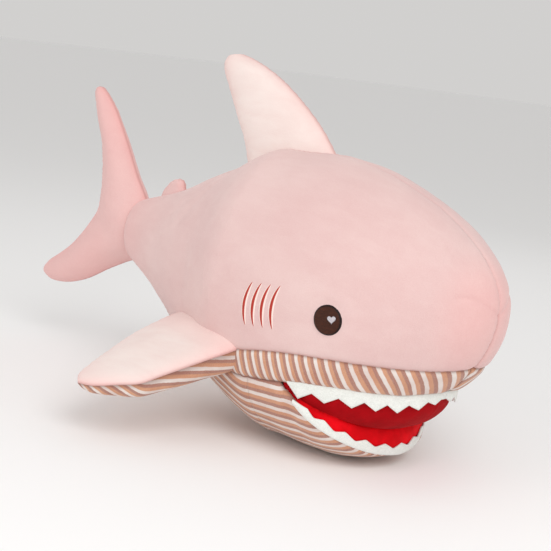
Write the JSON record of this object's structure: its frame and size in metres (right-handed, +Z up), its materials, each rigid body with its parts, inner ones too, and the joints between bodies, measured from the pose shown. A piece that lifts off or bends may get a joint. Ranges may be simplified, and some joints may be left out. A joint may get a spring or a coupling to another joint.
{
  "type": "plush shark",
  "caption": "Stuffed plush shark lying on its belly, open mouth with felt teeth, striped underside, bendable fins, jaw and tail.",
  "frame": {"origin": "on the floor under the middle of the toy's length, in its plane of symmetry", "axes": "+X towards the nose, +Y to the shark's left, +Z up; the toy lies on its belly on Z = 0"},
  "size_m": [0.6, 0.405, 0.347],
  "materials": {
    "stuffing": "loose white polyester fibre",
    "pink_plush": "short pile, soft sheen",
    "pale_pink_plush": "short pile, soft sheen",
    "striped_cloth": "short pile with off-white, tan and rose-brown stripes",
    "red_lining": "short pile, matt",
    "dark_red_lining": "short pile, matt",
    "white_felt": "smooth felt",
    "eye_embroidery": "satin stitch",
    "heart_embroidery": "satin stitch",
    "gill_embroidery": "satin stitch"
  },
  "bodies": {
    "trunk": {"trunk_stuffing": "stuffing", "upper_skin_right": "pink_plush", "upper_skin_left": "pink_plush", "lip_panel_right": "striped_cloth", "lip_panel_left": "striped_cloth", "belly_panel": "striped_cloth", "palate_lining": "dark_red_lining", "upper_teeth": "white_felt", "eye_patch_right": "eye_embroidery", "eye_patch_left": "eye_embroidery", "eye_heart_right": "heart_embroidery", "eye_heart_left": "heart_embroidery", "gill_slit_right_1": "gill_embroidery", "gill_slit_right_2": "gill_embroidery", "gill_slit_right_3": "gill_embroidery", "gill_slit_right_4": "gill_embroidery", "gill_slit_left_1": "gill_embroidery", "gill_slit_left_2": "gill_embroidery", "gill_slit_left_3": "gill_embroidery", "gill_slit_left_4": "gill_embroidery"},
    "jaw": {"jaw_panel": "striped_cloth", "tongue_lining": "red_lining", "jaw_stuffing": "stuffing", "lower_teeth": "white_felt"},
    "dorsal_fin": {"dorsal_skin_right": "pale_pink_plush", "dorsal_skin_left": "pale_pink_plush", "dorsal_fin_stuffing": "stuffing"},
    "second_dorsal_fin": {"second_dorsal_skin_right": "pink_plush", "second_dorsal_skin_left": "pink_plush", "second_dorsal_stuffing": "stuffing"},
    "pectoral_right": {"pectoral_right_top": "pale_pink_plush", "pectoral_right_under": "striped_cloth", "pectoral_right_stuffing": "stuffing"},
    "pectoral_left": {"pectoral_left_top": "pale_pink_plush", "pectoral_left_under": "striped_cloth", "pectoral_left_stuffing": "stuffing"},
    "tail_fin": {"tail_skin_right": "pink_plush", "tail_skin_left": "pink_plush", "tail_stuffing": "stuffing"}
  },
  "joints": [
    {"name": "jaw_open_close", "type": "hinge", "parent": "trunk", "child": "jaw", "pos_m": [0.149, 0, 0.072], "axis": [0, -1, 0], "range_deg": [-8, 12], "stiffness_Nm_per_rad": 1},
    {"name": "dorsal_fin_flop", "type": "hinge", "parent": "trunk", "child": "dorsal_fin", "pos_m": [0.05, 0, 0.275], "axis": [0.9758, 0, 0.2187], "range_deg": [-30, 30], "stiffness_Nm_per_rad": 0.5},
    {"name": "second_dorsal_fin_flop", "type": "hinge", "parent": "trunk", "child": "second_dorsal_fin", "pos_m": [-0.099, 0, 0.2055], "axis": [0.9341, 0, 0.3571], "range_deg": [-30, 30], "stiffness_Nm_per_rad": 0.05},
    {"name": "pectoral_right_flap", "type": "hinge", "parent": "trunk", "child": "pectoral_right", "pos_m": [0.039, -0.103, 0.0835], "axis": [-0.9647, 0.2631, 0.0073], "range_deg": [-12, 35], "stiffness_Nm_per_rad": 0.6},
    {"name": "pectoral_left_flap", "type": "hinge", "parent": "trunk", "child": "pectoral_left", "pos_m": [0.039, 0.103, 0.0835], "axis": [0.9647, 0.2631, -0.0073], "range_deg": [-12, 35], "stiffness_Nm_per_rad": 0.6},
    {"name": "tail_fin_sway", "type": "hinge", "parent": "trunk", "child": "tail_fin", "pos_m": [-0.15, 0, 0.152], "axis": [0, 0, 1], "range_deg": [-35, 35], "stiffness_Nm_per_rad": 0.8}
  ]
}
